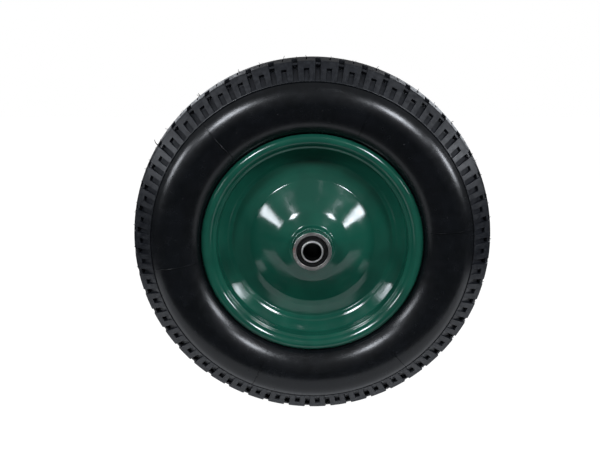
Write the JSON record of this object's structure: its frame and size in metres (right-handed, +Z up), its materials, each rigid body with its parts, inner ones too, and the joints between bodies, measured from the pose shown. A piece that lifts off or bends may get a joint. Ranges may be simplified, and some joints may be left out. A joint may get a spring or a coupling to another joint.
{
  "type": "wheelbarrow wheel",
  "caption": "Pneumatic wheelbarrow wheel: block-shouldered black tyre on a dished green pressed-steel rim with a long hub and sealed ball bearings.",
  "frame": {"origin": "the wheel's centre, on the axle line and on the tyre's mid-plane", "axes": "+Y along the axle towards the valve side, +Z up, so the front face looks along -Y"},
  "size_m": [0.394, 0.1144, 0.394],
  "materials": {
    "tyre_rubber": "satin moulded black rubber, duller on the tread",
    "tube_rubber": "matt black butyl and stem rubber",
    "seal_rubber": "dull black nitrile seal",
    "green_paint": "glossy dark green powder coat on pressed steel",
    "bearing_steel": "turned and ground steel with a trace of rust",
    "zinc_steel": "zinc-plated steel",
    "brass": "plain machined brass",
    "cap_plastic": "moulded black plastic"
  },
  "bodies": {
    "axle_sleeve": {"inner_race_front": "bearing_steel", "inner_race_back": "bearing_steel", "spacer_tube": "zinc_steel"},
    "wheel": {"tyre": "tyre_rubber", "rim_front": "green_paint", "rim_back": "green_paint", "hub_tube": "green_paint", "hub_weld_front": "green_paint", "hub_weld_back": "green_paint", "bearing_cup_front": "bearing_steel", "bearing_cup_back": "bearing_steel", "outer_seal_front": "seal_rubber", "inner_seal_front": "seal_rubber", "outer_seal_back": "seal_rubber", "inner_seal_back": "seal_rubber", "inner_tube": "tube_rubber", "valve_stem": "tube_rubber", "valve_insert": "brass", "valve_core": "brass"},
    "cage_front": {"ball_cage_front": "zinc_steel", "ball_front_1": "bearing_steel", "ball_front_2": "bearing_steel", "ball_front_3": "bearing_steel", "ball_front_4": "bearing_steel", "ball_front_5": "bearing_steel", "ball_front_6": "bearing_steel", "ball_front_7": "bearing_steel", "ball_front_8": "bearing_steel"},
    "cage_back": {"ball_cage_back": "zinc_steel", "ball_back_1": "bearing_steel", "ball_back_2": "bearing_steel", "ball_back_3": "bearing_steel", "ball_back_4": "bearing_steel", "ball_back_5": "bearing_steel", "ball_back_6": "bearing_steel", "ball_back_7": "bearing_steel", "ball_back_8": "bearing_steel"},
    "cap": {"valve_cap": "cap_plastic"},
    "pin": {"valve_pin": "brass"}
  },
  "joints": [
    {"name": "wheel_spin", "type": "hinge", "parent": "axle_sleeve", "child": "wheel", "pos_m": [0, 0, 0], "axis": [0, 1, 0], "continuous": true},
    {"name": "cage_front_spin", "type": "hinge", "parent": "axle_sleeve", "child": "cage_front", "pos_m": [0, 0, 0], "axis": [0, 1, 0], "continuous": true},
    {"name": "cage_back_spin", "type": "hinge", "parent": "axle_sleeve", "child": "cage_back", "pos_m": [0, 0, 0], "axis": [0, 1, 0], "continuous": true},
    {"name": "valve_cap_off", "type": "slide", "parent": "wheel", "child": "cap", "axis": [0, 0.7328, 0.6805], "range_m": [0, 0.012]},
    {"name": "valve_pin_press", "type": "slide", "parent": "wheel", "child": "pin", "axis": [0, -0.7328, -0.6805], "range_m": [0, 0.0012], "stiffness_N_per_m": 1200, "springref_m": -0.002}
  ],
  "couplings": [
    {"joint": "cage_front_spin", "follows": "wheel_spin", "ratio": 0.6014},
    {"joint": "cage_back_spin", "follows": "wheel_spin", "ratio": 0.6014}
  ]
}
